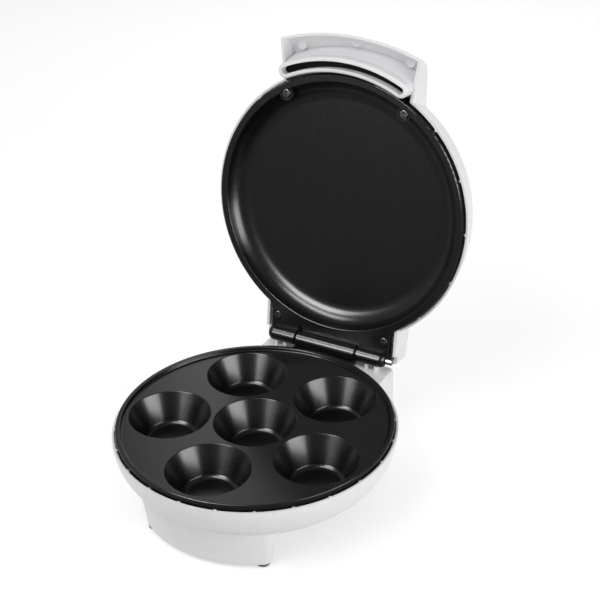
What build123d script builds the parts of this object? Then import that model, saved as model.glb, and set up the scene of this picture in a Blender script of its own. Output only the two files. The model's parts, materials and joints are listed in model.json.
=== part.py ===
from build123d import *
import math
import os

# A free-standing cupcake maker with a round base, a hinged lid and six cups.
# Everything is laid out about the upright axis of the cup plate, with the table at z = 0,
# the handle towards -Y and the hinge towards +Y. The lid is drawn shut, then swung open.
# Names that end in drop or lift are distances below or above the top of the cup plate's rim.

# Cup plate
rim_height = 66.0
plate_r = 104.0
plate_wall = 2.2
rim_band = 3.4
floor_drop = 2.7
skirt_depth = 9.0
edge_round = 0.8

# Cups
cup_mouth_r = 31.2
cup_floor_r = 20.0
cup_depth = 22.8
cup_corner_r = 4.5
cup_lip_r = 0.7
cup_ring_r = 66.0
ring_cups = 5

# Hinge
hinge_y = 114.9
hinge_lift = 0.2
knuckle_r = 6.3
centre_knuckle = 53.0
side_knuckle_end = 52.9
side_knuckle_dome = 5.3
knuckle_gap = 1.1
pin_r = 2.0
pin_clearance = 0.05
pin_blind_end = 49.0
pin_head_r = 2.6
pin_head_start = 53.5
pin_head_end = 58.2
web_top_drop = 3.4
web_bottom_drop = 8.2
open_angle = 99.25

# Base shell
shell_wall = 2.4
shell_r = 106.7
shell_rim_r = 105.2
shell_rim_drop = 4.8
bowl_corner_r = 38.5
bowl_depth = 44.0
ledge_thick = 2.0
ledge_r = 99.8
base_nibs = 24
nib_width = 2.0
nib_gap = 0.3
nib_root = 0.3

# Front leg and hinge post
leg_r = 91.0
leg_half_width = 51.8
leg_back_y = 68.5
leg_draft = 6.5
leg_corner_r = 5.0
leg_rise = 33.5
post_half_width = 57.0
post_front_y = 74.0
post_back_y = 122.6
post_corner_r = 5.0
post_brow_r = 2.0
post_top_drop = 9.6
wire_window_half = 18.0
wire_window_height = 20.0
wire_window_sill = 2.0
cradle_half_span = 45.0
cradle_pitch = 8.0
cradle_thick = 1.8
cradle_depth = 9.0
cradle_gap = 0.3

# Feet
foot_r = 5.0
foot_height = 2.5
foot_stem_r = 2.0
foot_stem = 5.0
foot_stem_gap = 0.5
foot_boss_r = 4.6
foot_boss = 9.0
front_foot = (46.2, -72.6)
rear_foot = (50.5, 116.2)

# Covers under the base
hatch_r = 53.0
cover_r = 64.0
cover_thick = 2.0
cover_screw_ring = 58.5
cover_fit = 0.3
cover_boss_gap = 1.5
vent_count = 9
vent_length = 26.0
vent_width = 3.0
vent_pitch = 7.0
post_cover_screw = (30.0, 98.0)

# Screws and their bosses
screw_r = 1.9
screw_fit = 0.2
screw_head_r = 3.6
screw_head = 2.4
screw_head_round = 0.85
screw_cross_arm = 2.0
screw_cross_width = 0.95
screw_cross_depth = 1.0
screw_bite = 10.0
cover_screw_bite = 7.0
boss_r = 4.2
post_r = 6.0

# Heating and its controls
element_r = 3.25
element_gap = 0.2
element_notch_gap = 2.0
lower_element_ring = 33.0
lower_element_drop = 21.0
upper_element_ring = 62.0
saddle_reach = 6.0
saddle_thick = 2.4
saddle_count = 4
saddle_first_angle = 45.0
terminal_half_gap = 7.0
terminal_length = 28.0
shield_thick = 0.8
lower_shield_r = 88.5
lower_shield_drop = 33.0
ridge_half_width = 4.0
ridge_slope = 2.0
plate_screw_ring = 84.0
plate_screw_angles = (-45.0, -135.0, 81.0, 99.0)
upper_shield_r = 82.0
shield_post = 8.5
shield_lip = 3.0
shield_screw_length = 6.8
shield_post_ring = 40.0
shield_post_angles = (90.0, 210.0, 330.0)
thermostat_y = 75.0
thermostat_r = 8.0
thermostat_height = 7.0
tab_size = (0.8, 5.0, 5.0)
fuse_r = 2.6
fuse_length = 22.0
fuse_stub = 3.0
lower_fuse_ring = 83.0
lower_fuse_angle = 18.0
upper_fuse_y = -73.0
lead_r = 1.2
lead_bend = 4.0
lead_hole_r = 2.0
lead_drop = 39.0

# Power inlet
gland_height = 30.0
gland_bore_r = 3.2
gland_wide_bore_r = 3.8
gland_body_r = 5.2
gland_nose_r = 5.0
gland_nose = 7.0
gland_flange_r = 7.5
gland_flange = 2.5
gland_inner = 9.0
gland_bore_start = 0.5
gland_fit = 0.1
terminal_block_y = 38.0
terminal_block_size = (34.0, 14.0, 9.0)
terminal_hole_r = 2.0

# Lid plate
lid_gap = 1.8
lid_plate_r = 105.15
dish_r = 99.5
dish_floor_r = 95.5
dish_depth = 13.0
dish_corner_r = 16.0
lid_skirt = 8.0
lid_rim_thick = 3.4
ear_half_width = 53.1
ear_thick = 5.4
ear_gap = 2.3
ear_fillet_r = 14.0
ear_edge_r = 2.0
ear_notch = 4.5
ear_notch_depth = 2.4
lid_screw_front = (49.8, -83.8)
lid_screw_rear = (48.0, 100.4)
lid_boss_r = 5.8
lid_boss_gap = 0.4
screw_recess_r = 4.1

# Lid shell
lid_r = 108.1
lid_rim_r = 106.4
lid_rim_lift = 5.8
lid_wall = 2.4
lid_nibs = 16
lid_ledge_r = 101.2
shoulder_r = 101.5
shoulder_lift = 35.0
shoulder_corner_r = 14.0
crown_lift = 38.0
crown_r = 62.0
crown_round = 700.0
lid_block_half_width = 58.5
lid_block_front_y = 84.0
lid_block_back_y = 119.4
lid_block_lift = 27.3
lid_block_back_lift = 25.4
lid_block_corner_r = 1.5
lid_block_brow_r = 7.0
lid_block_bottom = 4.2
lid_block_back_bottom = 8.2
lid_block_back_reach = 2.9

# Handle
hood_half_width = 57.3
hood_lip_half_width = 58.9
hood_lip_corner_y = -125.0
hood_lip_taper = 8.0
hood_front_y = -135.4
hood_front_r = 178.0
hood_edge_round = 0.8
hood_brow_in = 4.0
hood_brow_lift = 22.4
hood_brow_r = 20.0
hood_back_r = 120.0
hood_back_lift = 31.3
hood_wall = 2.2
ejector_mark_r = 3.6
ejector_mark_ring = 128.0
ejector_mark_lift = 17.0
ejector_mark_spread = 21.0
grip_ring = 113.5
grip_width = 11.8
grip_half_angle = 25.2
grip_drop = 5.0
grip_top = 12.0
grip_edge_r = 2.0
grip_slot_width = 5.6
grip_slot_depth = 14.0
grip_wall_foot_r = 118.6
grip_wall_head_r = 123.9
grip_wall = 2.2
grip_fit = 0.2

# Lamps
lamp_x = 11.0
lamp_y = -80.0
lamp_r = 3.0
lamp_flange_r = 4.4
lamp_flange = 1.0
lamp_stand = 0.8
lamp_round = 1.2
lamp_hole_r = 2.4
lamp_fit = 0.1
lamp_seat_gap = 0.5
lamp_holder_size = (34.0, 12.0, 5.0)

# Heights and axes that several pieces share
plate_floor = rim_height - floor_drop
plate_under = plate_floor - plate_wall
shell_top = rim_height - shell_rim_drop
bowl_bottom = rim_height - bowl_depth
ledge_top = rim_height - skirt_depth
post_top = rim_height - post_top_drop
shield_low = rim_height - lower_shield_drop
head_seat = shield_low - screw_head - 1.0
lid_plane = rim_height + lid_gap
dish_back = lid_plane + dish_depth + plate_wall
hinge_z = rim_height + hinge_lift
hinge_axis = Axis((0, hinge_y, hinge_z), (1, 0, 0))
tall = 3 * rim_height
through = 1.0


def turned(*corners):
    """Solid of revolution about the plate's axis, from (radius, height, rounding) corners."""
    points = [(radius, height) for radius, height, _ in corners]
    roundings = [rounding for _, _, rounding in corners]
    outline = FilletPolyline(*points, radius=roundings, close=True)
    return revolve(make_face(Plane.XZ * outline), Axis.Z, 360)


def rod(start, end, radius):
    """Round bar between two points."""
    line = Vector(*end) - Vector(*start)
    return extrude(Plane(origin=start, z_dir=line) * Circle(radius), line.length)


def block(x_range, y_range, z_range):
    """Box between two limits on each axis."""
    ranges = (x_range, y_range, z_range)
    size = [high - low for low, high in ranges]
    middle = [(high + low) / 2 for low, high in ranges]
    return Pos(*middle) * Box(*size)


def upright(x, y, low, high, radius):
    """Upright cylinder from one height to another."""
    return Pos(x, y, (low + high) / 2) * Cylinder(radius, high - low)


def on_ring(radius, angle):
    """Point on a circle about the plate's axis."""
    return (radius * math.cos(math.radians(angle)), radius * math.sin(math.radians(angle)))


def both_sides(place):
    """The place given and its mirror image across the middle of the object."""
    x, y = place
    return [(x, y), (-x, y)]


def together(pieces):
    """Separate solids as one group."""
    return Compound([solid for piece in pieces for solid in piece.solids()])


def screw(x, y, seat, length, head_up=True):
    """Cross-head screw whose head rests on the height given."""
    way = 1 if head_up else -1
    top = seat + way * screw_head
    head = upright(x, y, min(seat, top), max(seat, top), screw_head_r)
    end_face = head.faces().sort_by(Axis.Z)[-1 if head_up else 0]
    head = fillet(end_face.edges(), screw_head_round)
    arm, half, deep = screw_cross_arm, screw_cross_width / 2, screw_cross_depth
    cross = block((x - arm, x + arm), (y - half, y + half), (top - deep, top + deep))
    cross += block((x - half, x + half), (y - arm, y + arm), (top - deep, top + deep))
    tip = seat - way * length
    return head - cross + upright(x, y, min(seat, tip), max(seat, tip), screw_r)


# Cup plate


def cup_centres():
    """Centres of the middle cup and of the ring of cups, one of which faces the front."""
    return [(0.0, 0.0)] + [on_ring(cup_ring_r, -90 + 360 / ring_cups * i) for i in range(ring_cups)]


def plate_screw_places():
    """Places of the screws that hold the cup plate and the heat shield to the base."""
    return [on_ring(plate_screw_ring, angle) for angle in plate_screw_angles]


def cup_outside():
    """Tapered outer form of one cup, hanging from the plate."""
    slope = (cup_mouth_r - cup_floor_r) / cup_depth
    top = plate_floor - plate_wall / 2
    bottom = plate_floor - cup_depth - plate_wall
    mouth = cup_mouth_r + plate_wall * math.hypot(1, slope) - slope * plate_wall / 2
    foot = mouth - slope * (top - bottom)
    return turned(
        (0, bottom, 0),
        (foot, bottom, cup_corner_r + plate_wall),
        (mouth, top, 0),
        (0, top, 0),
    )


def cup_inside():
    """Space cut out of the plate for one cup, flared where the plate's edge is rounded."""
    flare = cup_mouth_r + 2 * cup_lip_r
    return turned(
        (0, plate_floor - cup_depth, 0),
        (cup_floor_r, plate_floor - cup_depth, cup_corner_r),
        (cup_mouth_r, plate_floor, cup_lip_r),
        (flare, plate_floor, 0),
        (flare, rim_height, 0),
        (0, rim_height, 0),
    )


def cup_plate():
    """Cast plate with its cups, rim, skirt, screw bosses and the hinge's centre knuckle."""
    inner_rim = plate_r - rim_band
    skirt_inner = plate_r - plate_wall
    plate = turned(
        (0, plate_floor, 0),
        (inner_rim - floor_drop / 4, plate_floor, edge_round),
        (inner_rim, rim_height, edge_round),
        (plate_r, rim_height, edge_round),
        (plate_r, ledge_top, 0),
        (skirt_inner, ledge_top, 0),
        (skirt_inner, plate_under, 0),
        (0, plate_under, 0),
    )
    boss_foot = shield_low + shield_thick
    for x, y in cup_centres():
        plate += Pos(x, y, 0) * cup_outside()
    for x, y in plate_screw_places():
        plate += upright(x, y, boss_foot, plate_floor - plate_wall / 2, boss_r)
    middle = rim_height - lower_element_drop
    rib_z, channel_z = (middle, plate_floor - plate_wall / 2), (0, middle + element_r + element_gap)
    plate += saddles(lower_element_ring, rib_z, channel_z, ring_cups, -90 + 180 / ring_cups)
    for x, y in cup_centres():
        plate -= Pos(x, y, 0) * cup_inside()
    for x, y in plate_screw_places():
        hole_top = boss_foot + screw_bite + through
        plate -= upright(x, y, boss_foot - through, hole_top, screw_r + screw_fit)
    return plate + centre_knuckle_and_web()


def saddles(ring, rib_z, channel_z, count, first_angle):
    """Ribs across the heating element, each with a square channel that holds it."""
    half, side = saddle_thick / 2, element_r + element_gap
    rib = block((ring - saddle_reach, ring + saddle_reach), (-half, half), rib_z)
    low, high = channel_z
    corners = [(ring - side, low), (ring + side, low), (ring + side, high), (ring - side, high)]
    channel = turned(*[(radius, height, 0) for radius, height in corners])
    ribs = [Rot(0, 0, first_angle + 360 / count * i) * rib for i in range(count)]
    return sum(ribs[1:], ribs[0]) - channel


def centre_knuckle_and_web():
    """The knuckle that belongs to the cup plate, and the web that carries it."""
    half = centre_knuckle / 2
    knuckle = rod((-half, hinge_y, hinge_z), (half, hinge_y, hinge_z), knuckle_r)
    knuckle = fillet(knuckle.edges(), edge_round)
    inside_r = plate_r - plate_wall / 2
    web_start = math.sqrt(inside_r**2 - half**2)
    web_z = (rim_height - web_bottom_drop, rim_height - web_top_drop)
    web = block((-half, half), (web_start, hinge_y), web_z)
    web -= upright(0, 0, 0, tall, inside_r)
    bore_r, reach = pin_r + pin_clearance, half + through
    return web + knuckle - rod((-reach, hinge_y, hinge_z), (reach, hinge_y, hinge_z), bore_r)


# Heating and controls in the base


def heating_loop(ring, height):
    """Open ring of heater tube with its two ends side by side, pointing at the hinge."""
    half = terminal_half_gap
    first = 90 + math.degrees(math.asin(half / ring))
    arc = CenterArc((0, 0, height), ring, first, 360 - 2 * (first - 90))
    loop = sweep(Plane(origin=arc @ 0, z_dir=arc % 0) * Circle(element_r), path=arc)
    y = math.sqrt(ring**2 - half**2)
    for side in (-half, half):
        loop += Pos(side, y, height) * Sphere(element_r)
        loop += rod((side, y, height), (side, y + terminal_length, height), element_r)
    return loop


def lower_heating_element():
    """Tubular element that runs between the middle cup and the outer ones."""
    return heating_loop(lower_element_ring, rim_height - lower_element_drop)


def lower_heat_shield():
    """Pressed reflector below the cups, whose ridge holds the element up in its saddles."""
    ridge = rim_height - lower_element_drop - element_r - element_gap
    inner, outer = lower_element_ring - ridge_half_width, lower_element_ring + ridge_half_width
    t = shield_thick
    tray = turned(
        (0, shield_low, 0),
        (inner - ridge_slope, shield_low, 0),
        (inner, ridge - t, 0),
        (outer, ridge - t, 0),
        (outer + ridge_slope, shield_low, 0),
        (lower_shield_r, shield_low, 0),
        (lower_shield_r, shield_low + t, 0),
        (outer + ridge_slope + t, shield_low + t, 0),
        (outer + t, ridge, 0),
        (inner - t, ridge, 0),
        (inner - ridge_slope - t, shield_low + t, 0),
        (0, shield_low + t, 0),
    )
    for x, y in plate_screw_places():
        tray -= upright(x, y, shield_low - through, shield_low + t + through, screw_r + screw_fit)
    for x, y in both_sides((terminal_half_gap, lead_turn_y())):
        tray -= upright(x, y, shield_low - through, shield_low + t + through, lead_hole_r)
    return tray


def lead_turn_y():
    """Where the leads turn down, behind the ends of the lower element."""
    ring_y = math.sqrt(lower_element_ring**2 - terminal_half_gap**2)
    return ring_y + terminal_length + 1.5 * lead_bend


def lead(points):
    """Insulated lead along straight runs with rounded turns."""
    path = FilletPolyline(*points, radius=lead_bend)
    return sweep(Plane(origin=path @ 0, z_dir=path % 0) * Circle(lead_r), path=path)


def lower_leads():
    """Leads from the ends of the lower element, through the shield, to the terminal block."""
    tail_y = lead_turn_y() - 1.5 * lead_bend
    high, low = rim_height - lower_element_drop, rim_height - lead_drop
    block_face = terminal_block_y + terminal_block_size[1] / 2
    leads = []
    for x in (-terminal_half_gap, terminal_half_gap):
        turn = lead_turn_y()
        leads.append(lead([(x, tail_y, high), (x, turn, high), (x, turn, low), (x, block_face, low)]))
    return together(leads)


def lower_thermostat():
    """Disc thermostat with two tabs, held against the underside of the cup plate."""
    body = upright(0, thermostat_y, plate_under - thermostat_height, plate_under, thermostat_r)
    low = plate_under - thermostat_height
    thick, width, length = tab_size
    y_range = (thermostat_y - width / 2, thermostat_y + width / 2)
    for x in (-thermostat_r / 2, thermostat_r / 2):
        body += block((x - thick / 2, x + thick / 2), y_range, (low - length, low))
    return body


def fuse(x, y, height, angle):
    """Thermal fuse in its sleeve, with a bare wire stub at each end."""
    half = fuse_length / 2
    sleeve = rod((-half, 0, 0), (half, 0, 0), fuse_r)
    sleeve += rod((-half - fuse_stub, 0, 0), (half + fuse_stub, 0, 0), fuse_r / 4)
    return Pos(x, y, height) * Rot(0, 0, angle) * sleeve


def lower_thermal_fuse():
    """Fuse lying against the underside of the cup plate between two cups."""
    x, y = on_ring(lower_fuse_ring, lower_fuse_angle)
    return fuse(x, y, plate_under - fuse_r - element_gap, lower_fuse_angle + 90)


def terminal_block():
    """Three-way connector that stands on the bottom cover."""
    length, depth, height = terminal_block_size
    y_range = (terminal_block_y - depth / 2, terminal_block_y + depth / 2)
    body = block((-length / 2, length / 2), y_range, (bowl_bottom, bowl_bottom + height))
    for x in (-length / 3, 0, length / 3):
        body -= upright(x, terminal_block_y, bowl_bottom + height / 2, tall, terminal_hole_r)
    return body


# Base


def bowl(inset):
    """Outer form of the base's bowl, or its inside when an inset is given."""
    return turned(
        (0, bowl_bottom + inset, 0),
        (shell_r - inset, bowl_bottom + inset, bowl_corner_r - inset),
        (shell_r - inset, shell_top, 0),
        (0, shell_top, 0),
    )


def leg_form(inset):
    """Front leg, widening upwards into the bowl, or its inside when an inset is given."""
    back = leg_back_y + inset
    window = Pos(0, -back - leg_r) * Rectangle(2 * (leg_half_width - inset), 2 * leg_r)
    plan = Circle(leg_r - inset) & window
    plan = fillet(plan.vertices().sort_by(Axis.Y)[:2], leg_corner_r - inset / 2)
    return extrude(Pos(0, 0, foot_height) * plan, leg_rise, taper=-leg_draft)


def post_form(inset):
    """Hinge post behind the bowl, or its inside when an inset is given."""
    front, back = post_front_y + inset, post_back_y - inset
    plan = RectangleRounded(2 * (post_half_width - inset), back - front, post_corner_r - inset / 2)
    low = foot_height - inset
    body = extrude(Pos(0, (front + back) / 2, low) * plan, post_top - inset - low)
    top = body.faces().sort_by(Axis.Z)[-1]
    return fillet(top.edges(), post_brow_r - inset / 2)


def nib_ring(count, inner_r, outer_r, low, high):
    """Small upright ribs that keep a plate centred in its shell."""
    nib = block((inner_r, outer_r), (-nib_width / 2, nib_width / 2), (low, high))
    nibs = [Rot(0, 0, 360 / count * i) * nib for i in range(count)]
    return sum(nibs[1:], nibs[0])


def cover_screw_places():
    """Places of the screws in the bottom cover."""
    return [on_ring(cover_screw_ring, 45 + 90 * i) for i in range(4)]


def base_shell():
    """Moulded base: bowl, plate ledge, nibs, hollow front leg, hinge post and screw posts."""
    outside = bowl(0)
    leg_hollow = leg_form(shell_wall) - outside
    post_hollow = post_form(shell_wall) - outside
    shell = outside + leg_form(0) + post_form(0) - leg_hollow - post_hollow
    shell -= bowl(shell_wall)
    shell -= upright(0, 0, ledge_top, tall, shell_rim_r)
    shell += nib_ring(base_nibs, plate_r + nib_gap, shell_rim_r + nib_root, ledge_top, shell_top)
    shell += turned(
        (ledge_r, ledge_top - ledge_thick, 0),
        (shell_rim_r, ledge_top - ledge_thick, 0),
        (shell_rim_r, ledge_top, 0),
        (ledge_r, ledge_top, 0),
    )
    shell += base_posts() & outside
    shell += foot_bosses() + post_cover_bosses() + hinge_cradles()
    web_half = centre_knuckle / 2 + knuckle_gap
    shell -= block((-web_half, web_half), (ledge_r, post_back_y + through), (ledge_top, tall))
    shell -= wire_window()
    shell -= upright(0, 0, bowl_bottom - through, bowl_bottom + shell_wall + through, hatch_r)
    return shell - base_screw_holes()


def wire_window():
    """Window from the bowl to the hinge post, which leaves the rear screw posts whole."""
    low = bowl_bottom + shell_wall
    z_range = (low + wire_window_sill, low + wire_window_height)
    window = block((-wire_window_half, wire_window_half), (post_front_y, shell_r), z_range)
    for x, y in plate_screw_places():
        window -= upright(x, y, 0, tall, post_r + through)
    return window


def hinge_cradles():
    """Pairs of thin ribs on top of the hinge post, hollowed to the side knuckles above them."""
    y_range = (hinge_y - cradle_depth / 2, hinge_y + cradle_depth / 2)
    ribs = []
    for side in (-1, 1):
        for i in range(2):
            x = side * (cradle_half_span - i * cradle_pitch)
            x_range = (x - cradle_thick / 2, x + cradle_thick / 2)
            ribs.append(block(x_range, y_range, (post_top - post_brow_r, hinge_z - knuckle_r / 2)))
    start, end = [(side * post_half_width, hinge_y, hinge_z) for side in (-1, 1)]
    return sum(ribs[1:], ribs[0]) - rod(start, end, knuckle_r + cradle_gap)


def base_posts():
    """Posts inside the bowl for the plate's screws and the bottom cover's screws."""
    posts = [upright(x, y, 0, shield_low, post_r) for x, y in plate_screw_places()]
    boss_top = shield_low - cover_boss_gap
    posts += [upright(x, y, bowl_bottom, boss_top, boss_r) for x, y in cover_screw_places()]
    return sum(posts[1:], posts[0])


def foot_bosses():
    """Bosses in the leg and the hinge post that the feet plug into."""
    places = both_sides(front_foot) + both_sides(rear_foot)
    bosses = [upright(x, y, foot_height, foot_height + foot_boss, foot_boss_r) for x, y in places]
    return sum(bosses[1:], bosses[0])


def post_cover_bosses():
    """Pillars that hang from the bowl down to the hinge post's cover."""
    low = foot_height + cover_thick
    pillars = [upright(x, y, low, ledge_top - ledge_thick, boss_r) for x, y in both_sides(post_cover_screw)]
    return sum(pillars[1:], pillars[0]) - bowl(shell_wall)


def base_screw_holes():
    """Holes for the screws, the feet and the power inlet."""
    hole_r = screw_r + screw_fit
    inner_y, outer_y = post_back_y - gland_inner, post_back_y + through
    holes = rod((0, inner_y, gland_height), (0, outer_y, gland_height), gland_body_r + gland_fit)
    for x, y in plate_screw_places():
        holes += upright(x, y, foot_height + cover_thick, head_seat, screw_recess_r)
        holes += upright(x, y, head_seat - through, shield_low + through, hole_r)
    for x, y in cover_screw_places():
        holes += upright(x, y, bowl_bottom - through, shield_low - 2 * cover_boss_gap, hole_r)
    for x, y in both_sides(post_cover_screw):
        holes += upright(x, y, foot_height, foot_height + cover_thick + screw_bite, hole_r)
    for x, y in both_sides(front_foot) + both_sides(rear_foot):
        holes += upright(x, y, foot_height - through, foot_height + foot_stem, foot_stem_r)
    return holes


def bottom_cover():
    """Disc that closes the bowl's hatch, with a row of vent slots."""
    cover = upright(0, 0, bowl_bottom - cover_thick, bowl_bottom, cover_r)
    cover = fillet(cover.faces().sort_by(Axis.Z)[0].edges(), edge_round)
    slot = Rot(0, 0, 90) * SlotOverall(vent_length, vent_width)
    for i in range(vent_count):
        x = (i - (vent_count - 1) / 2) * vent_pitch
        cover -= extrude(Pos(x, 0, bowl_bottom - cover_thick - through) * slot, cover_thick + 2 * through)
    for x, y in cover_screw_places():
        cover -= upright(x, y, 0, tall, screw_r + screw_fit)
    return cover


def post_cover():
    """Plate that closes the hinge post from below, inside its walls."""
    inset = shell_wall + cover_fit
    front, back = post_front_y + inset, post_back_y - inset
    plan = RectangleRounded(2 * (post_half_width - inset), back - front, post_corner_r - inset / 2)
    cover = extrude(Pos(0, (front + back) / 2, foot_height) * plan, cover_thick)
    for x, y in both_sides(rear_foot):
        cover -= upright(x, y, 0, tall, foot_boss_r + cover_fit)
        cover -= upright(x, y, 0, foot_height + cover_thick / 2, foot_r + cover_fit)
    for x, y in both_sides(post_cover_screw):
        cover -= upright(x, y, 0, tall, screw_r + screw_fit)
    return cover


def rubber_feet():
    """Four soft feet, each with a stem that plugs into its boss."""
    feet = []
    for x, y in both_sides(front_foot) + both_sides(rear_foot):
        foot = upright(x, y, 0, foot_height, foot_r)
        foot = fillet(foot.faces().sort_by(Axis.Z)[0].edges(), edge_round)
        feet.append(foot + upright(x, y, foot_height, foot_height + foot_stem - foot_stem_gap, foot_stem_r))
    return together(feet)


def cup_plate_screws():
    """Screws from below the bowl, through the shield, into the cup plate's bosses."""
    length = shield_low + shield_thick + screw_bite - head_seat
    return together([screw(x, y, head_seat, length, False) for x, y in plate_screw_places()])


def bottom_cover_screws():
    """Screws that hold the bottom cover to the bowl."""
    seat, length = bowl_bottom - cover_thick, cover_thick + cover_screw_bite
    return together([screw(x, y, seat, length, False) for x, y in cover_screw_places()])


def post_cover_screws():
    """Screws that hold the cover of the hinge post."""
    length = cover_thick + cover_screw_bite
    return together([screw(x, y, foot_height, length, False) for x, y in both_sides(post_cover_screw)])


def hinge_pin():
    """Steel pin through all three knuckles, with its head at the right."""
    pin = rod((-pin_blind_end, hinge_y, hinge_z), (pin_head_end - edge_round, hinge_y, hinge_z), pin_r)
    head = rod((pin_head_start, hinge_y, hinge_z), (pin_head_end, hinge_y, hinge_z), pin_head_r)
    head = fillet(head.faces().sort_by(Axis.X)[-1].edges(), edge_round)
    return pin + head


def cord_gland():
    """Bushing in the back of the hinge post, whose short nose grips the power cord."""
    inner_y, bore_y = post_back_y - gland_inner, post_back_y + gland_bore_start
    flange_y, outer_y = post_back_y + gland_flange, post_back_y + gland_nose
    body = rod((0, inner_y, gland_height), (0, flange_y, gland_height), gland_body_r)
    flange = rod((0, post_back_y, gland_height), (0, flange_y, gland_height), gland_flange_r)
    nose = rod((0, flange_y, gland_height), (0, outer_y, gland_height), gland_nose_r)
    flange = fillet(flange.faces().sort_by(Axis.Y)[-1].edges(), edge_round)
    nose = fillet(nose.faces().sort_by(Axis.Y)[-1].edges(), edge_round)
    bore = rod((0, bore_y, gland_height), (0, outer_y + through, gland_height), gland_bore_r)
    wide_bore = rod((0, inner_y - through, gland_height), (0, bore_y, gland_height), gland_wide_bore_r)
    return body + flange + nose - bore - wide_bore


# Lid plate


def lid_plate():
    """Cast plate of the lid: a shallow dish with a skirt, ears and two hinge knuckles."""
    rim_back = lid_plane + lid_rim_thick
    skirt_inner = lid_plate_r - plate_wall
    wall_back = dish_r + plate_wall - edge_round / 2
    plate = turned(
        (0, lid_plane + dish_depth, 0),
        (dish_floor_r, lid_plane + dish_depth, dish_corner_r),
        (dish_r, lid_plane, edge_round),
        (lid_plate_r, lid_plane, edge_round),
        (lid_plate_r, lid_plane + lid_skirt, 0),
        (skirt_inner, lid_plane + lid_skirt, 0),
        (skirt_inner, rim_back, 0),
        (wall_back, rim_back, 0),
        (dish_floor_r + plate_wall, dish_back, dish_corner_r - edge_round),
        (0, dish_back, 0),
    )
    for x, y in both_sides(lid_screw_front):
        boss = upright(x, y, lid_plane + edge_round, dish_back, lid_boss_r)
        plate += boss & upright(0, 0, 0, tall, lid_ledge_r - lid_boss_gap)
    plate += ears()
    middle, root = dish_back + element_r + element_gap, dish_back - plate_wall / 2
    plate += saddles(upper_element_ring, (root, middle), (dish_back, tall), saddle_count, saddle_first_angle)
    for angle in shield_post_angles:
        x, y = on_ring(shield_post_ring, angle)
        plate += upright(x, y, root, dish_back + shield_post, boss_r)
        plate -= upright(x, y, dish_back, dish_back + shield_post + through, screw_r + screw_fit)
    for x, y, seat in lid_screw_places():
        plate -= upright(x, y, lid_plane - through, lid_plane + screw_head, screw_recess_r)
        plate -= upright(x, y, lid_plane, seat + through, screw_r + screw_fit)
    return plate


def lid_screw_places():
    """Places of the screws that hold the lid plate, and the heights where its posts meet it."""
    front = [(x, y, dish_back) for x, y in both_sides(lid_screw_front)]
    return front + [(x, y, lid_plane + ear_thick) for x, y in both_sides(lid_screw_rear)]


def lid_plate_screws():
    """Screws from the cooking side, through the lid plate, into the lid's posts."""
    under_head = lid_plane + screw_head
    places = lid_screw_places()
    return together([screw(x, y, under_head, seat - under_head + screw_bite, False) for x, y, seat in places])


def ears():
    """Flange behind the dish that carries the two side knuckles."""
    chord = 0.6 * lid_plate_r
    plan = Pos(0, (chord + hinge_y) / 2) * Rectangle(2 * ear_half_width, hinge_y - chord)
    plan += Circle(lid_plate_r)
    corners = [v for v in plan.vertices() if abs(v.X) > ear_half_width - 0.01 and chord < v.Y < hinge_y - 1]
    plan = fillet(corners, ear_fillet_r)
    plan -= Circle(dish_r + edge_round)
    plan &= Pos(0, chord + lid_plate_r) * Rectangle(3 * lid_plate_r, 2 * lid_plate_r)
    flange = extrude(Pos(0, 0, lid_plane) * plan, ear_thick)
    front_edges = flange.faces().sort_by(Axis.Z)[0].edges()
    sides = [e for e in front_edges if abs(e.center().X) > ear_half_width - 0.01 and e.center().Y > chord + 1]
    flange = fillet(sides, ear_edge_r)
    half = centre_knuckle / 2 + knuckle_gap
    for side in (-1, 1):
        flange += side_knuckle(side * half, side * side_knuckle_end)
    reach = knuckle_r + ear_gap
    flange -= block((-half, half), (hinge_y - reach, hinge_y + reach), (0, tall))
    reach += ear_notch_depth
    flange -= block((-half, ear_notch - half), (hinge_y - reach, hinge_y), (0, tall))
    start, end = (-pin_blind_end - through, hinge_y, hinge_z), (pin_head_end, hinge_y, hinge_z)
    return flange - rod(start, end, pin_r + pin_clearance)


def side_knuckle(inner_x, outer_x):
    """Knuckle of the lid plate with a domed outer end."""
    knuckle = rod((inner_x, hinge_y, hinge_z), (outer_x, hinge_y, hinge_z), knuckle_r)
    inner, outer = (0, -1) if outer_x > inner_x else (-1, 0)
    knuckle = fillet(knuckle.faces().sort_by(Axis.X)[outer].edges(), side_knuckle_dome)
    return fillet(knuckle.faces().sort_by(Axis.X)[inner].edges(), edge_round)


# Heating and controls in the lid


def upper_heating_element():
    """Tubular element on the back of the lid plate."""
    return heating_loop(upper_element_ring, dish_back + element_r + element_gap)


def upper_heat_shield():
    """Flat reflector on three posts above the upper element, with a turned-down edge."""
    low = dish_back + shield_post
    shield = turned(
        (0, low, 0),
        (upper_shield_r - shield_thick, low, 0),
        (upper_shield_r - shield_thick, low - shield_lip, 0),
        (upper_shield_r, low - shield_lip, 0),
        (upper_shield_r, low + shield_thick, 0),
        (0, low + shield_thick, 0),
    )
    for angle in shield_post_angles:
        x, y = on_ring(shield_post_ring, angle)
        shield -= upright(x, y, low - through, low + shield_thick + through, screw_r + screw_fit)
    notch = terminal_half_gap + element_r + element_notch_gap
    return shield - block((-notch, notch), (shield_post_ring, tall), (0, low))


def upper_shield_screws():
    """Screws that hold the upper reflector to its posts."""
    seat = dish_back + shield_post + shield_thick
    places = [on_ring(shield_post_ring, angle) for angle in shield_post_angles]
    return together([screw(x, y, seat, shield_screw_length) for x, y in places])


def upper_thermal_fuse():
    """Fuse lying on the back of the lid plate."""
    return fuse(0, upper_fuse_y, dish_back + fuse_r + element_gap, 0)


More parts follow.
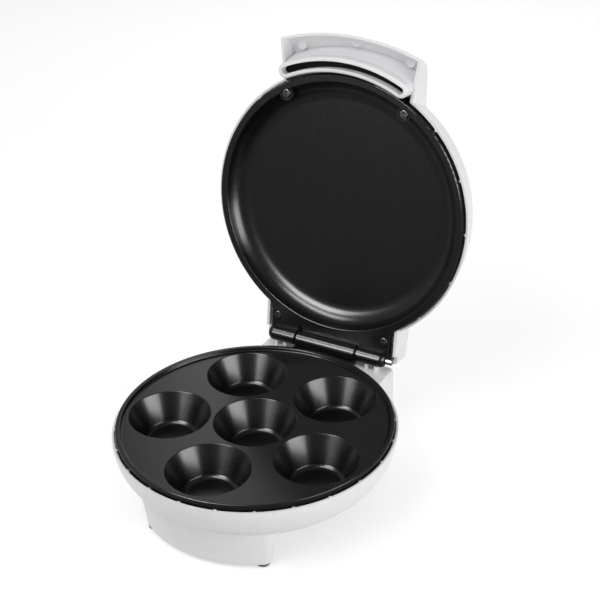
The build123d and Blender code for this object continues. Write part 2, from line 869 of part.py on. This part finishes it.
def upper_leads():
    """Leads from the ends of the upper element, over the shield, to the lamp holder."""
    low = dish_back + element_r + element_gap
    high = lamp_seat() - lamp_flange - lamp_holder_size[2] / 2
    tail_y = math.sqrt(upper_element_ring**2 - terminal_half_gap**2) + terminal_length
    turn_y = tail_y + lead_bend
    holder_face = lamp_y + lamp_holder_size[1] / 2
    bend = (high - low) * 0.45
    leads = []
    for x in (-terminal_half_gap, terminal_half_gap):
        points = [(x, tail_y, low), (x, turn_y, low), (x, turn_y, high), (x, holder_face, high)]
        path = FilletPolyline(*points, radius=min(bend, lead_bend * 0.9))
        leads.append(sweep(Plane(origin=path @ 0, z_dir=path % 0) * Circle(lead_r), path=path))
    return together(leads)


# Lid shell and handle


def dome(inset):
    """Outer form of the lid, or its inside when an inset is given."""
    low = rim_height + lid_rim_lift
    return turned(
        (0, low, 0),
        (lid_r - inset, low, 0),
        (shoulder_r - inset, rim_height + shoulder_lift - inset, shoulder_corner_r - inset),
        (crown_r, rim_height + crown_lift - inset, crown_round),
        (0, rim_height + crown_lift - inset, 0),
    )


def hood(inset):
    """Handle's hood, a curved brow in front of the lid, or its inside when an inset is given."""
    lip = rim_height + lid_rim_lift
    brow = rim_height + hood_brow_lift - inset
    back = rim_height + hood_back_lift - inset
    slope = hood_brow_in / (hood_brow_lift - lid_rim_lift)
    form = turned(
        (hood_front_r - inset + slope * inset, lip - inset, 0 if inset else hood_edge_round),
        (hood_front_r - hood_brow_in - inset, brow, hood_brow_r - inset),
        (hood_back_r, back, 0),
        (hood_back_r, lip - inset, 0),
    )
    return Pos(0, hood_front_y + hood_front_r, 0) * form & hood_sides(inset)


def hood_sides(inset):
    """Space between the hood's side walls, which close in towards the lid at their lower edge."""
    front, back = 1.2 * hood_front_y, 0.2 * hood_front_y
    taper = math.tan(math.radians(hood_lip_taper))
    lip_half = hood_lip_half_width - inset + taper * hood_lip_corner_y
    front_half, back_half = lip_half - taper * front, lip_half - taper * back
    top_half = hood_half_width - inset
    low_corners = [(-front_half, front), (front_half, front), (back_half, back), (-back_half, back)]
    high_corners = [(-top_half, front), (top_half, front), (top_half, back), (-top_half, back)]
    low_plan = make_face(Polyline(*low_corners, close=True))
    high_plan = make_face(Polyline(*high_corners, close=True))
    lip, top = rim_height + lid_rim_lift - inset, rim_height + hood_back_lift
    return loft([Pos(0, 0, lip) * low_plan, Pos(0, 0, top) * high_plan], ruled=True)


def lid_block(inset):
    """Housing over the hinge at the back of the lid, or its inside when an inset is given."""
    front, back = lid_block_front_y + inset, lid_block_back_y - inset
    low = rim_height + (lid_block_bottom if not inset else 0)
    top, back_top = rim_height + lid_block_lift - inset, rim_height + lid_block_back_lift - inset
    corners = [(front, low), (back, low), (back, back_top), (front, top)]
    profile = FilletPolyline(*corners, radius=[0, 0, lid_block_brow_r - inset, 0], close=True)
    width = 2 * (lid_block_half_width - inset)
    body = extrude(Plane.YZ * make_face(profile), width / 2, both=True)
    plan = RectangleRounded(width, back - front, lid_block_corner_r - inset / 2)
    return body & extrude(Pos(0, (front + back) / 2, 0) * plan, tall)


def lid_shell():
    """Moulded lid: domed cover, hinge housing, handle hood, plate ledge, nibs and posts."""
    low = rim_height + lid_rim_lift
    ledge = lid_plane + lid_skirt
    inner_r = lid_plate_r + nib_gap
    shell = dome(0) + hood(0) + lid_block(0)
    shell -= dome(lid_wall) + hood(hood_wall) + lid_block(lid_wall)
    shell -= upright(0, 0, 0, ledge, lid_rim_r)
    back_band = (hinge_y - lid_block_back_reach, tall)
    shell -= block((-tall, tall), back_band, (0, rim_height + lid_block_back_bottom))
    ledge_ring = turned(
        (lid_ledge_r, ledge, 0),
        (lid_rim_r, ledge, 0),
        (lid_rim_r, ledge + ledge_thick, 0),
        (lid_ledge_r, ledge + ledge_thick, 0),
    )
    ring = ledge_ring + nib_ring(lid_nibs, inner_r, lid_rim_r + nib_root, low, ledge + nib_root)
    shell += ring - hood(hood_wall) - lid_block(lid_wall)
    inside = dome(lid_wall) + lid_block(lid_wall)
    shell += lid_posts() & inside
    shell += ejector_marks() & hood(0)
    for x, y, seat in lid_screw_places():
        shell -= upright(x, y, seat - through, seat + screw_bite + through, screw_r + screw_fit)
    for x in (-lamp_x, lamp_x):
        shell -= upright(x, lamp_y, lamp_seat(), tall, lamp_r + lamp_fit)
    return shell


def ejector_marks():
    """Round flats left on the hood's ceiling by the ejector pins of its mould."""
    marks = []
    for i in (-1, 0, 1):
        x, y = on_ring(ejector_mark_ring, -90 + i * ejector_mark_spread)
        marks.append(upright(x, y, rim_height + ejector_mark_lift, tall, ejector_mark_r))
    return sum(marks[1:], marks[0])


def lid_posts():
    """Posts that hang from the lid's roof to the lid plate and to the lamp holder."""
    posts = [upright(x, y, seat, tall, boss_r) for x, y, seat in lid_screw_places()]
    posts.append(upright(0, lamp_y, lamp_seat() - lamp_flange, tall, lamp_r))
    return sum(posts[1:], posts[0])


def roof_at_lamps():
    """Height of the lid's outer face where the lamps come through it."""
    out = math.hypot(lamp_x, lamp_y) - crown_r
    fall = (crown_lift - shoulder_lift) / (shoulder_r - crown_r)
    return rim_height + crown_lift - fall * out


def lamp_seat():
    """Height of the lamps' flanges, just under the lid's roof."""
    return roof_at_lamps() - lid_wall - lamp_seat_gap


def lamp_lens(x):
    """Clear lens with a domed top, and a flange under the roof."""
    seat = lamp_seat()
    lens = upright(x, lamp_y, seat - lamp_flange / 2, roof_at_lamps() + lamp_stand, lamp_r)
    lens = fillet(lens.faces().sort_by(Axis.Z)[-1].edges(), lamp_round)
    return lens + upright(x, lamp_y, seat - lamp_flange, seat, lamp_flange_r)


def lamp_holder():
    """Bracket that holds both lamps up against the lid."""
    length, depth, height = lamp_holder_size
    top = lamp_seat() - lamp_flange
    y_range = (lamp_y - depth / 2, lamp_y + depth / 2)
    holder = block((-length / 2, length / 2), y_range, (top - height, top))
    for x in (-lamp_x, lamp_x):
        holder -= upright(x, lamp_y, top - height / 2, top + through, lamp_hole_r)
    return holder


def handle_liner():
    """Inner wall of the handle, with the long curved slot in its raised lip."""
    arc = CenterArc((0, 0), grip_ring, -90 - grip_half_angle, 2 * grip_half_angle)
    low = rim_height - grip_drop
    lip = extrude(Pos(0, 0, low) * SlotArc(arc, grip_width), grip_top + grip_drop)
    lip = fillet(lip.faces().sort_by(Axis.Z)[0].edges(), grip_edge_r)
    wall = turned(
        (grip_wall_foot_r - grip_wall, low + grip_width / 2, 0),
        (grip_wall_foot_r, low + grip_width / 2, 0),
        (grip_wall_head_r, rim_height + hood_brow_lift, 0),
        (grip_wall_head_r - grip_wall, rim_height + hood_brow_lift, 0),
    )
    wall_back = -grip_ring * math.cos(math.radians(2 * grip_half_angle))
    wall &= block((-lid_r, lid_r), (hood_front_y, wall_back), (0, tall))
    wall &= hood(hood_wall + grip_fit)
    beside = block((-lid_r, lid_r), (hood_front_y, 0), (rim_height + lid_rim_lift - grip_fit, tall))
    lip -= beside - hood_sides(hood_wall + grip_fit)
    slot = extrude(Pos(0, 0, low - through) * SlotArc(arc, grip_slot_width), grip_slot_depth + through)
    return lip + wall - slot


# Assembly


def swung_open(piece):
    """A piece of the lid, turned about the hinge from shut to open."""
    return piece.rotate(hinge_axis, -open_angle)


def base_pieces():
    """Every piece that stands still."""
    return {
        "base_shell": base_shell(),
        "bottom_cover": bottom_cover(),
        "post_cover": post_cover(),
        "cup_plate": cup_plate(),
        "lower_heating_element": lower_heating_element(),
        "lower_heat_shield": lower_heat_shield(),
        "lower_thermostat": lower_thermostat(),
        "lower_thermal_fuse": lower_thermal_fuse(),
        "lower_leads": lower_leads(),
        "terminal_block": terminal_block(),
        "cup_plate_screws": cup_plate_screws(),
        "bottom_cover_screws": bottom_cover_screws(),
        "post_cover_screws": post_cover_screws(),
        "rubber_feet": rubber_feet(),
        "hinge_pin": hinge_pin(),
        "cord_gland": cord_gland(),
    }


def lid_pieces():
    """Every piece that swings with the lid, drawn shut."""
    return {
        "lid_shell": lid_shell(),
        "handle_liner": handle_liner(),
        "lid_plate": lid_plate(),
        "lid_plate_screws": lid_plate_screws(),
        "upper_heating_element": upper_heating_element(),
        "upper_heat_shield": upper_heat_shield(),
        "upper_shield_screws": upper_shield_screws(),
        "upper_thermal_fuse": upper_thermal_fuse(),
        "upper_leads": upper_leads(),
        "power_lamp_lens": lamp_lens(-lamp_x),
        "ready_lamp_lens": lamp_lens(lamp_x),
        "lamp_holder": lamp_holder(),
    }


def footprint_middle(pieces):
    """Middle of the open object's box, seen from above."""
    boxes = [piece.bounding_box() for piece in pieces.values()]
    low_y, high_y = min(b.min.Y for b in boxes), max(b.max.Y for b in boxes)
    return (low_y + high_y) / 2


def main():
    os.makedirs("parts", exist_ok=True)
    pieces = base_pieces()
    pieces.update({name: swung_open(piece) for name, piece in lid_pieces().items()})
    middle_y = footprint_middle(pieces)
    for name, piece in pieces.items():
        export_step(Pos(0, -middle_y, 0) * piece, f"parts/{name}.step")
    print(f"The plate's axis is {middle_y:.3f} mm in front of the origin.")


if __name__ == "__main__":
    main()
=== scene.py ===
"""Looks of a cupcake maker: white moulded shells, black non-stick plates, dark screws and hinge."""
import json
import math

import bmesh
import bpy
from mathutils import Matrix, Vector

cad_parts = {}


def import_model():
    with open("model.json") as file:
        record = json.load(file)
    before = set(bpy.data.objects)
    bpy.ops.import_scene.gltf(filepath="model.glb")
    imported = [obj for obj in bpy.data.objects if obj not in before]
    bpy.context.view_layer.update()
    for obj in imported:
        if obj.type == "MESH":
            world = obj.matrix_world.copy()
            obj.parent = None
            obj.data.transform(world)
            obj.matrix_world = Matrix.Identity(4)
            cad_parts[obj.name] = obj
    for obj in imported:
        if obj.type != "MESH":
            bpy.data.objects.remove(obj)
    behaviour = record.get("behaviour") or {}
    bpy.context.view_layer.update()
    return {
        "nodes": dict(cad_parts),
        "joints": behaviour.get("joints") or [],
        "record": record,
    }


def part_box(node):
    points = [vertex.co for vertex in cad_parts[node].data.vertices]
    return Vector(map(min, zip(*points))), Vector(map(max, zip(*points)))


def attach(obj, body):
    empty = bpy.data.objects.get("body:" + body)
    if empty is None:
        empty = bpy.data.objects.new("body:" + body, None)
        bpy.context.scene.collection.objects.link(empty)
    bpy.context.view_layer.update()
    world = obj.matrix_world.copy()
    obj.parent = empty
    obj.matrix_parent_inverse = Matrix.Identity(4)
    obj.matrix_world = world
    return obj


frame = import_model()
nodes = frame["nodes"]

MM = 0.001

# The cup plate's axis and the top of its rim, from which the rest is placed.
cover_low, cover_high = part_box("bottom_cover")
PLATE_Y = (cover_low.y + cover_high.y) / 2
RIM_TOP = 66 * MM

# The photograph's camera, measured from the plate's axis at the top of its rim.
CAMERA_PLACE = Vector((471.1, -752.5, 612.8)) * MM
CAMERA_AZIMUTH = math.radians(29.708)
CAMERA_ELEVATION = math.radians(29.994)
CAMERA_ROLL = math.radians(-1.762)
CAMERA_LENS = 86.56
SENSOR_WIDTH = 36.0
CAMERA_CLIP = 10 * MM

# How bright the room lights a white surface, and what the seen floor adds to the light that it gets.
ROOM_LEVEL = 0.4
FLOOR_LIFT = 0.52
FLOOR_WIDTH = 12.0
FLOOR_GAP = 0.4 * MM

# The lamps point at this height above the floor. A beam stands nearer than its lamp, because two area lamps
# in one place block each other.
LAMP_AIM = 120 * MM
LAMP_DISTANCE = 1.3
BEAM_DISTANCE = 1.2

# The lamp that has no beam: its name, azimuth, elevation, distance and size in metres, and level.
LEFT_LAMP = ("left_lamp", -75, 10, 1.6, (1.6, 1.2), 0.12)

# Each other lamp's name, azimuth, elevation, size in metres, level, and the level of its beam.
LAMPS = (
    ("right_lamp", 82, 14, (0.95, 0.6), 0.5, 4.6),
    ("front_lamp", -20, 29, (0.6, 0.5), 0.12, 5.5),
    ("overhead_lamp", -25, 60, (0.9, 0.3), 0.28, 3.6),
    ("back_lamp", -165, 30, (1.0, 0.8), 0.18, 0.22),
)

# The pieces that take the beams.
DARK_NODES = ("cup_plate", "lid_plate", "lid_plate_screws", "hinge_pin")

# The curved slot in the handle's lip, on the closed lid: its ring about the plate's axis, its width and half
# angle, and the heights of the dark strip in it, a sheet of painted shade deep in the slot.
SLOT_RING = 113.5 * MM
SLOT_WIDTH = 5.5 * MM
SLOT_HALF_ANGLE = 25.2
SLOT_STEPS = 48
CAP_STEPS = 10
STRIP_LOW = 68 * MM
STRIP_HIGH = 74.5 * MM
STRIP_EDGE = 0.3 * MM
STRIP_EDGE_STEPS = 3

# Where the colour ramps begin and end, in the middle part of what a noise texture gives.
RAMP_ENDS = (0.3, 0.7)


def linear(hex_colour):
    """Linear RGBA of an sRGB hex colour."""
    channels = [int(hex_colour[i : i + 2], 16) / 255 for i in (1, 3, 5)]
    return [c / 12.92 if c <= 0.04045 else ((c + 0.055) / 1.055) ** 2.4 for c in channels] + [1.0]


def add(tree, kind, inputs=None, **settings):
    """Adds a node, sets its properties, and fills or links its inputs."""
    made = tree.nodes.new(kind)
    for name, value in settings.items():
        setattr(made, name, value)
    for name, value in (inputs or {}).items():
        if isinstance(value, bpy.types.NodeSocket):
            tree.links.new(value, made.inputs[name])
        else:
            made.inputs[name].default_value = value
    return made


def surface(name, hex_colour, roughness, **sockets):
    """A new material with its principled shader set, returned with its tree and shader. A pattern may take
    the place of the colour and roughness, which are then its mean or near it."""
    material = bpy.data.materials.new(name)
    material.use_nodes = True
    tree = material.node_tree
    shader = tree.nodes["Principled BSDF"]
    shader.inputs["Base Color"].default_value = linear(hex_colour)
    shader.inputs["Roughness"].default_value = roughness
    for socket, value in sockets.items():
        shader.inputs[socket.replace("_", " ")].default_value = value
    return material, tree, shader


def place_in(tree):
    """The point in the object's own frame, in metres."""
    return add(tree, "ShaderNodeTexCoord").outputs["Object"]


def grain(tree, shader, size, depth, strength=1.0):
    """Uneven surface with bumps of the size and depth given. Returns its height, for colour or gloss."""
    noise = add(tree, "ShaderNodeTexNoise", {"Vector": place_in(tree), "Scale": 1 / size, "Detail": 3.0})
    inputs = {"Height": noise.outputs["Fac"], "Distance": depth, "Strength": strength}
    bump = add(tree, "ShaderNodeBump", inputs)
    tree.links.new(bump.outputs["Normal"], shader.inputs["Normal"])
    return noise.outputs["Fac"]


def between(tree, shader, socket, fac, low, high):
    """Runs one of the shader's inputs between two values, or two colours, over the ends of the ramp."""
    ramp = add(tree, "ShaderNodeValToRGB", {"Fac": fac})
    for stop, place, value in zip(ramp.color_ramp.elements, RAMP_ENDS, (low, high)):
        stop.position = place
        stop.color = linear(value) if isinstance(value, str) else (value, value, value, 1.0)
    tree.links.new(ramp.outputs["Color"], shader.inputs[socket])


# Materials


def moulded_abs():
    """ABS moulded in a lightly blasted tool: neutral white, satin, with faint flow waves over the walls."""
    material, tree, shader = surface("white_moulded_abs", "#ebebec", 0.36, IOR=1.53)
    waves = grain(tree, shader, 7 * MM, 0.03 * MM, 0.4)
    between(tree, shader, "Base Color", waves, "#e9e9eb", "#ededee")
    between(tree, shader, "Roughness", waves, 0.33, 0.4)
    return material


def sprayed_ptfe():
    """PTFE sprayed on die-cast aluminium: near black and semi-matt. Its real grain of 0.1 mm is drawn at
    0.9 mm, so that it shows as the fine speckle in the highlights. The index is matched to the photograph's
    dark lid, and is below the 1.35 of plain PTFE."""
    material, tree, shader = surface("sprayed_ptfe_on_die_cast_aluminium", "#0e0d0e", 0.24, IOR=1.2)
    speckle = grain(tree, shader, 0.9 * MM, 0.03 * MM, 0.35)
    between(tree, shader, "Base Color", speckle, "#0b0a0b", "#131213")
    between(tree, shader, "Roughness", speckle, 0.2, 0.28)
    return material


def blackened_steel():
    """Screws of blackened steel: a thin oxide over bright metal, so the edges of the recess still shine."""
    material, tree, shader = surface("blackened_steel", "#202023", 0.3, Metallic=1.0)
    blotch = grain(tree, shader, 0.7 * MM, 0.01 * MM, 0.4)
    between(tree, shader, "Base Color", blotch, "#19191b", "#2e2e31")
    return material


def zinc_plate():
    """Zinc-plated steel: pale metal with the soft blotches of a passivated coat."""
    material, tree, shader = surface("zinc_plated_steel", "#c9c8c2", 0.3, Metallic=1.0)
    blotch = grain(tree, shader, 0.8 * MM, 0.01 * MM, 0.4)
    between(tree, shader, "Base Color", blotch, "#b4b3ab", "#d6d5d0")
    between(tree, shader, "Roughness", blotch, 0.25, 0.38)
    return material


def turned_steel():
    """Turned steel of the hinge pin, dark with oil, its tool marks too fine to see singly."""
    material, tree, shader = surface("oiled_turned_steel", "#55565a", 0.28, Metallic=1.0)
    marks = grain(tree, shader, 0.5 * MM, 0.01 * MM, 0.4)
    between(tree, shader, "Roughness", marks, 0.22, 0.36)
    return material


def heater_sheath():
    """Stainless sheath of the heating elements, browned in patches by heat."""
    material, tree, shader = surface("heat_tinted_stainless_steel", "#7a706a", 0.4, Metallic=1.0)
    patches = grain(tree, shader, 5 * MM, 0.02 * MM, 0.3)
    between(tree, shader, "Base Color", patches, "#65584f", "#8f8782")
    return material


def rolled_aluminium():
    """Rolled aluminium sheet of the heat shields: fine lines 0.3 mm apart along the roll."""
    material, tree, shader = surface("rolled_aluminium_sheet", "#cfd0d2", 0.3, Metallic=1.0)
    inputs = {"Vector": place_in(tree), "Scale": (1 / (0.3 * MM), 1 / (12 * MM), 1 / (12 * MM))}
    along = add(tree, "ShaderNodeMapping", inputs)
    lines = add(tree, "ShaderNodeTexNoise", {"Vector": along.outputs["Vector"], "Scale": 1.0})
    between(tree, shader, "Base Color", lines.outputs["Fac"], "#c2c3c6", "#dbdcdd")
    between(tree, shader, "Roughness", lines.outputs["Fac"], 0.24, 0.36)
    return material


def moulded(name, hex_low, hex_high, roughness, size, depth):
    """A plain moulded or woven material, whose surface varies over the size given."""
    material, tree, shader = surface(name, hex_low, roughness)
    between(tree, shader, "Base Color", grain(tree, shader, size, depth, 0.5), hex_low, hex_high)
    return material


def lamp_lens(name, hex_colour):
    """Tinted polycarbonate of a lamp lens: clear and glossy, with the faint ripple of a small moulding."""
    material, tree, shader = surface(name, hex_colour, 0.08, IOR=1.58, Transmission_Weight=0.6)
    grain(tree, shader, 1.5 * MM, 0.02 * MM, 0.3)
    return material


def finishes():
    """Every material, by the slot names of the record."""
    return {
        "white_housing": moulded_abs(),
        "nonstick_plate": sprayed_ptfe(),
        "dark_screw": blackened_steel(),
        "zinc_screw": zinc_plate(),
        "pin_steel": turned_steel(),
        "heater_steel": heater_sheath(),
        "shield_metal": rolled_aluminium(),
        "control_metal": zinc_plate(),
        "grey_rubber": moulded("moulded_silicone_rubber", "#4b4b4e", "#5a5a5d", 0.7, 0.6 * MM, 0.05 * MM),
        "fuse_sleeve": moulded("woven_glass_sleeve", "#d9d3c2", "#e6e1d2", 0.8, 0.5 * MM, 0.1 * MM),
        "lead_insulation": moulded("extruded_silicone", "#b8392c", "#c8463a", 0.5, 1 * MM, 0.02 * MM),
        "terminal_plastic": moulded("moulded_polyamide", "#d2d1ca", "#dad9d2", 0.5, 1 * MM, 0.03 * MM),
        "gland_plastic": moulded("moulded_nylon", "#dcdcde", "#e3e3e5", 0.45, 1 * MM, 0.03 * MM),
        "red_lens": lamp_lens("red_polycarbonate", "#c8150c"),
        "green_lens": lamp_lens("green_polycarbonate", "#1f9a3a"),
    }


def painted_slot_shade():
    """Near-black matt sheet with a fine random grain: painted shade for the dark depth of the handle's slot.
    """
    material, tree, shader = surface("painted_slot_shade_black", "#131314", 0.95, IOR=1.3)
    between(tree, shader, "Base Color", grain(tree, shader, 0.6 * MM, 0.2 * MM, 0.8), "#0c0c0d", "#1b1b1d")
    return material


# The slot in the handle's lip, and the painted shade deep in it


def arc(middle, radius, first, last, steps):
    """Points on an arc, from the first angle to the last, counted from the X axis."""
    angles = [first + (last - first) * i / steps for i in range(steps + 1)]
    return [(middle.x + radius * math.cos(turn), middle.y + radius * math.sin(turn)) for turn in angles]


def slot_outline():
    """Outline of the curved slot, seen from above: two arcs about the plate's axis, with a half circle at
    each end, whose own ends are left to the arcs."""
    axis, front, half = Vector((0, 0)), -math.pi / 2, math.radians(SLOT_HALF_ANGLE)
    edge = SLOT_WIDTH / 2
    right_end, left_end = (SLOT_RING * Vector((side * math.sin(half), -math.cos(half))) for side in (1, -1))
    outline = arc(axis, SLOT_RING + edge, front - half, front + half, SLOT_STEPS)
    outline += arc(right_end, edge, front + half, front + half + math.pi, CAP_STEPS)[1:-1]
    outline += arc(axis, SLOT_RING - edge, front + half, front - half, SLOT_STEPS)
    outline += arc(left_end, edge, front - half + math.pi, front - half + 2 * math.pi, CAP_STEPS)[1:-1]
    return outline


def slot_strip(material):
    """Dark strip with rounded ends that closes the curved slot a little way in: a sheet of painted shade
    where the deep slot is dark.
    """
    mesh = bmesh.new()
    face = mesh.faces.new([mesh.verts.new((x, y, STRIP_LOW)) for x, y in slot_outline()])
    grown = bmesh.ops.extrude_face_region(mesh, geom=[face])
    top = [v for v in grown["geom"] if isinstance(v, bmesh.types.BMVert)]
    bmesh.ops.translate(mesh, verts=top, vec=(0, 0, STRIP_HIGH - STRIP_LOW))
    bmesh.ops.recalc_face_normals(mesh, faces=mesh.faces)
    bmesh.ops.transform(mesh, matrix=opened(), verts=mesh.verts)
    data = bpy.data.meshes.new("handle_slot_painted_shade")
    mesh.to_mesh(data)
    mesh.free()
    piece = bpy.data.objects.new("handle_slot_painted_shade", data)
    bpy.context.scene.collection.objects.link(piece)
    data.materials.append(material)
    soften = piece.modifiers.new("edges", "BEVEL")
    soften.width = STRIP_EDGE
    soften.segments = STRIP_EDGE_STEPS
    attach(piece, "lid")


def opened():
    """Takes a point of the closed lid, in metres from the plate's axis on the table, to its place at rest."""
    hinge = Vector(frame["joints"][0]["pos_m"])
    swing = Matrix.Rotation(-math.radians(frame["joints"][0]["range_deg"][1]), 4, "X")
    return Matrix.Translation(hinge) @ swing @ Matrix.Translation(Vector((0, PLATE_Y, 0)) - hinge)


def dress_nodes(made):
    """Gives every carried-over CAD node the material of its slot."""
    slots = {part["node"]: part["material_slot"] for part in frame["record"]["subparts"]}
    for name, piece in nodes.items():
        piece.data.materials.clear()
        piece.data.materials.append(made[slots[name]])


# Studio


def camera():
    """The camera at the photograph's viewpoint."""
    az, el, roll = CAMERA_AZIMUTH, CAMERA_ELEVATION, CAMERA_ROLL
    right = Vector((math.cos(az), math.sin(az), 0))
    back = Vector((math.sin(az) * math.cos(el), -math.cos(az) * math.cos(el), math.sin(el)))
    up = back.cross(right)
    turned_right = right * math.cos(roll) + up * math.sin(roll)
    turned_up = up * math.cos(roll) - right * math.sin(roll)
    data = bpy.data.cameras.new("camera")
    data.lens = CAMERA_LENS
    data.sensor_width = SENSOR_WIDTH
    data.clip_start = CAMERA_CLIP
    made = bpy.data.objects.new("camera", data)
    bpy.context.scene.collection.objects.link(made)
    axes = Matrix((turned_right, turned_up, back)).transposed().to_4x4()
    made.matrix_world = Matrix.Translation(CAMERA_PLACE + Vector((0, PLATE_Y, RIM_TOP))) @ axes
    bpy.context.scene.camera = made


def softbox(name, azimuth, elevation, distance, size, level):
    """A soft lamp round the object, hidden from the camera, at angles counted as the camera's are. Level is
    about how bright it makes a white surface that faces it."""
    az, el = math.radians(azimuth), math.radians(elevation)
    way = Vector((math.sin(az) * math.cos(el), -math.cos(az) * math.cos(el), math.sin(el)))
    data = bpy.data.lights.new(name, "AREA")
    data.shape = "RECTANGLE"
    data.size, data.size_y = size
    data.energy = level * (math.pi * distance) ** 2
    made = bpy.data.objects.new(name, data)
    bpy.context.scene.collection.objects.link(made)
    made.location = Vector((0, PLATE_Y, LAMP_AIM)) + way * distance
    made.rotation_euler = way.to_track_quat("Z", "Y").to_euler()
    made.visible_camera = False
    return made


def seen(tree):
    """1 for camera, glossy and transmission rays, 0 for the light that falls on the object."""
    path = add(tree, "ShaderNodeLightPath")
    total = path.outputs["Is Camera Ray"]
    for kind in ("Is Glossy Ray", "Is Transmission Ray"):
        either = add(tree, "ShaderNodeMath", {0: total, 1: path.outputs[kind]}, operation="MAXIMUM")
        total = either.outputs["Value"]
    return total


def world():
    """A pale room: even light on the object, and white where it is seen itself or reflected."""
    made = bpy.data.worlds.new("studio")
    bpy.context.scene.world = made
    made.use_nodes = True
    tree = made.node_tree
    background = tree.nodes["Background"]
    background.inputs["Color"].default_value = (1, 1, 1, 1)
    mix = add(tree, "ShaderNodeMix", {"Factor": seen(tree), "A": ROOM_LEVEL, "B": 1.0}, data_type="FLOAT")
    tree.links.new(mix.outputs["Result"], background.inputs["Strength"])


def floor():
    """A white paper sweep that keeps the object's soft shadow."""
    bpy.ops.mesh.primitive_plane_add(size=FLOOR_WIDTH, location=(0, 0, -FLOOR_GAP))
    plane = bpy.context.object
    plane.name = "studio_floor"
    material, tree, shader = surface("white_paper_sweep", "#cfcfcf", 0.9, Specular_IOR_Level=0.0)
    shader.inputs["Emission Color"].default_value = (1, 1, 1, 1)
    inputs = {0: seen(tree), 1: FLOOR_LIFT}
    lift = add(tree, "ShaderNodeMath", inputs, operation="MULTIPLY")
    tree.links.new(lift.outputs["Value"], shader.inputs["Emission Strength"])
    plane.data.materials.append(material)


def lamps():
    """Plain softboxes all round the object, the left one wide and weak. Each of the others is doubled by a
    beam that only the dark pieces take, and only as gloss. The beams draw the long highlights on those
    pieces, and all but the back one are far stronger than a plain lamp."""
    dark = bpy.data.collections.new("dark_pieces")
    for name in DARK_NODES:
        dark.objects.link(nodes[name])
    softbox(*LEFT_LAMP)
    for name, azimuth, elevation, size, level, glint in LAMPS:
        softbox(name, azimuth, elevation, LAMP_DISTANCE, size, level)
        beam = softbox(name + "_beam", azimuth, elevation, BEAM_DISTANCE, size, glint)
        beam.visible_diffuse = False
        beam.light_linking.receiver_collection = dark


dress_nodes(finishes())
# A near-black sheet in the handle's slot paints the shade deep inside it.
slot_strip(painted_slot_shade())
camera()
world()
floor()
lamps()

bpy.context.scene.view_settings.view_transform = "Standard"
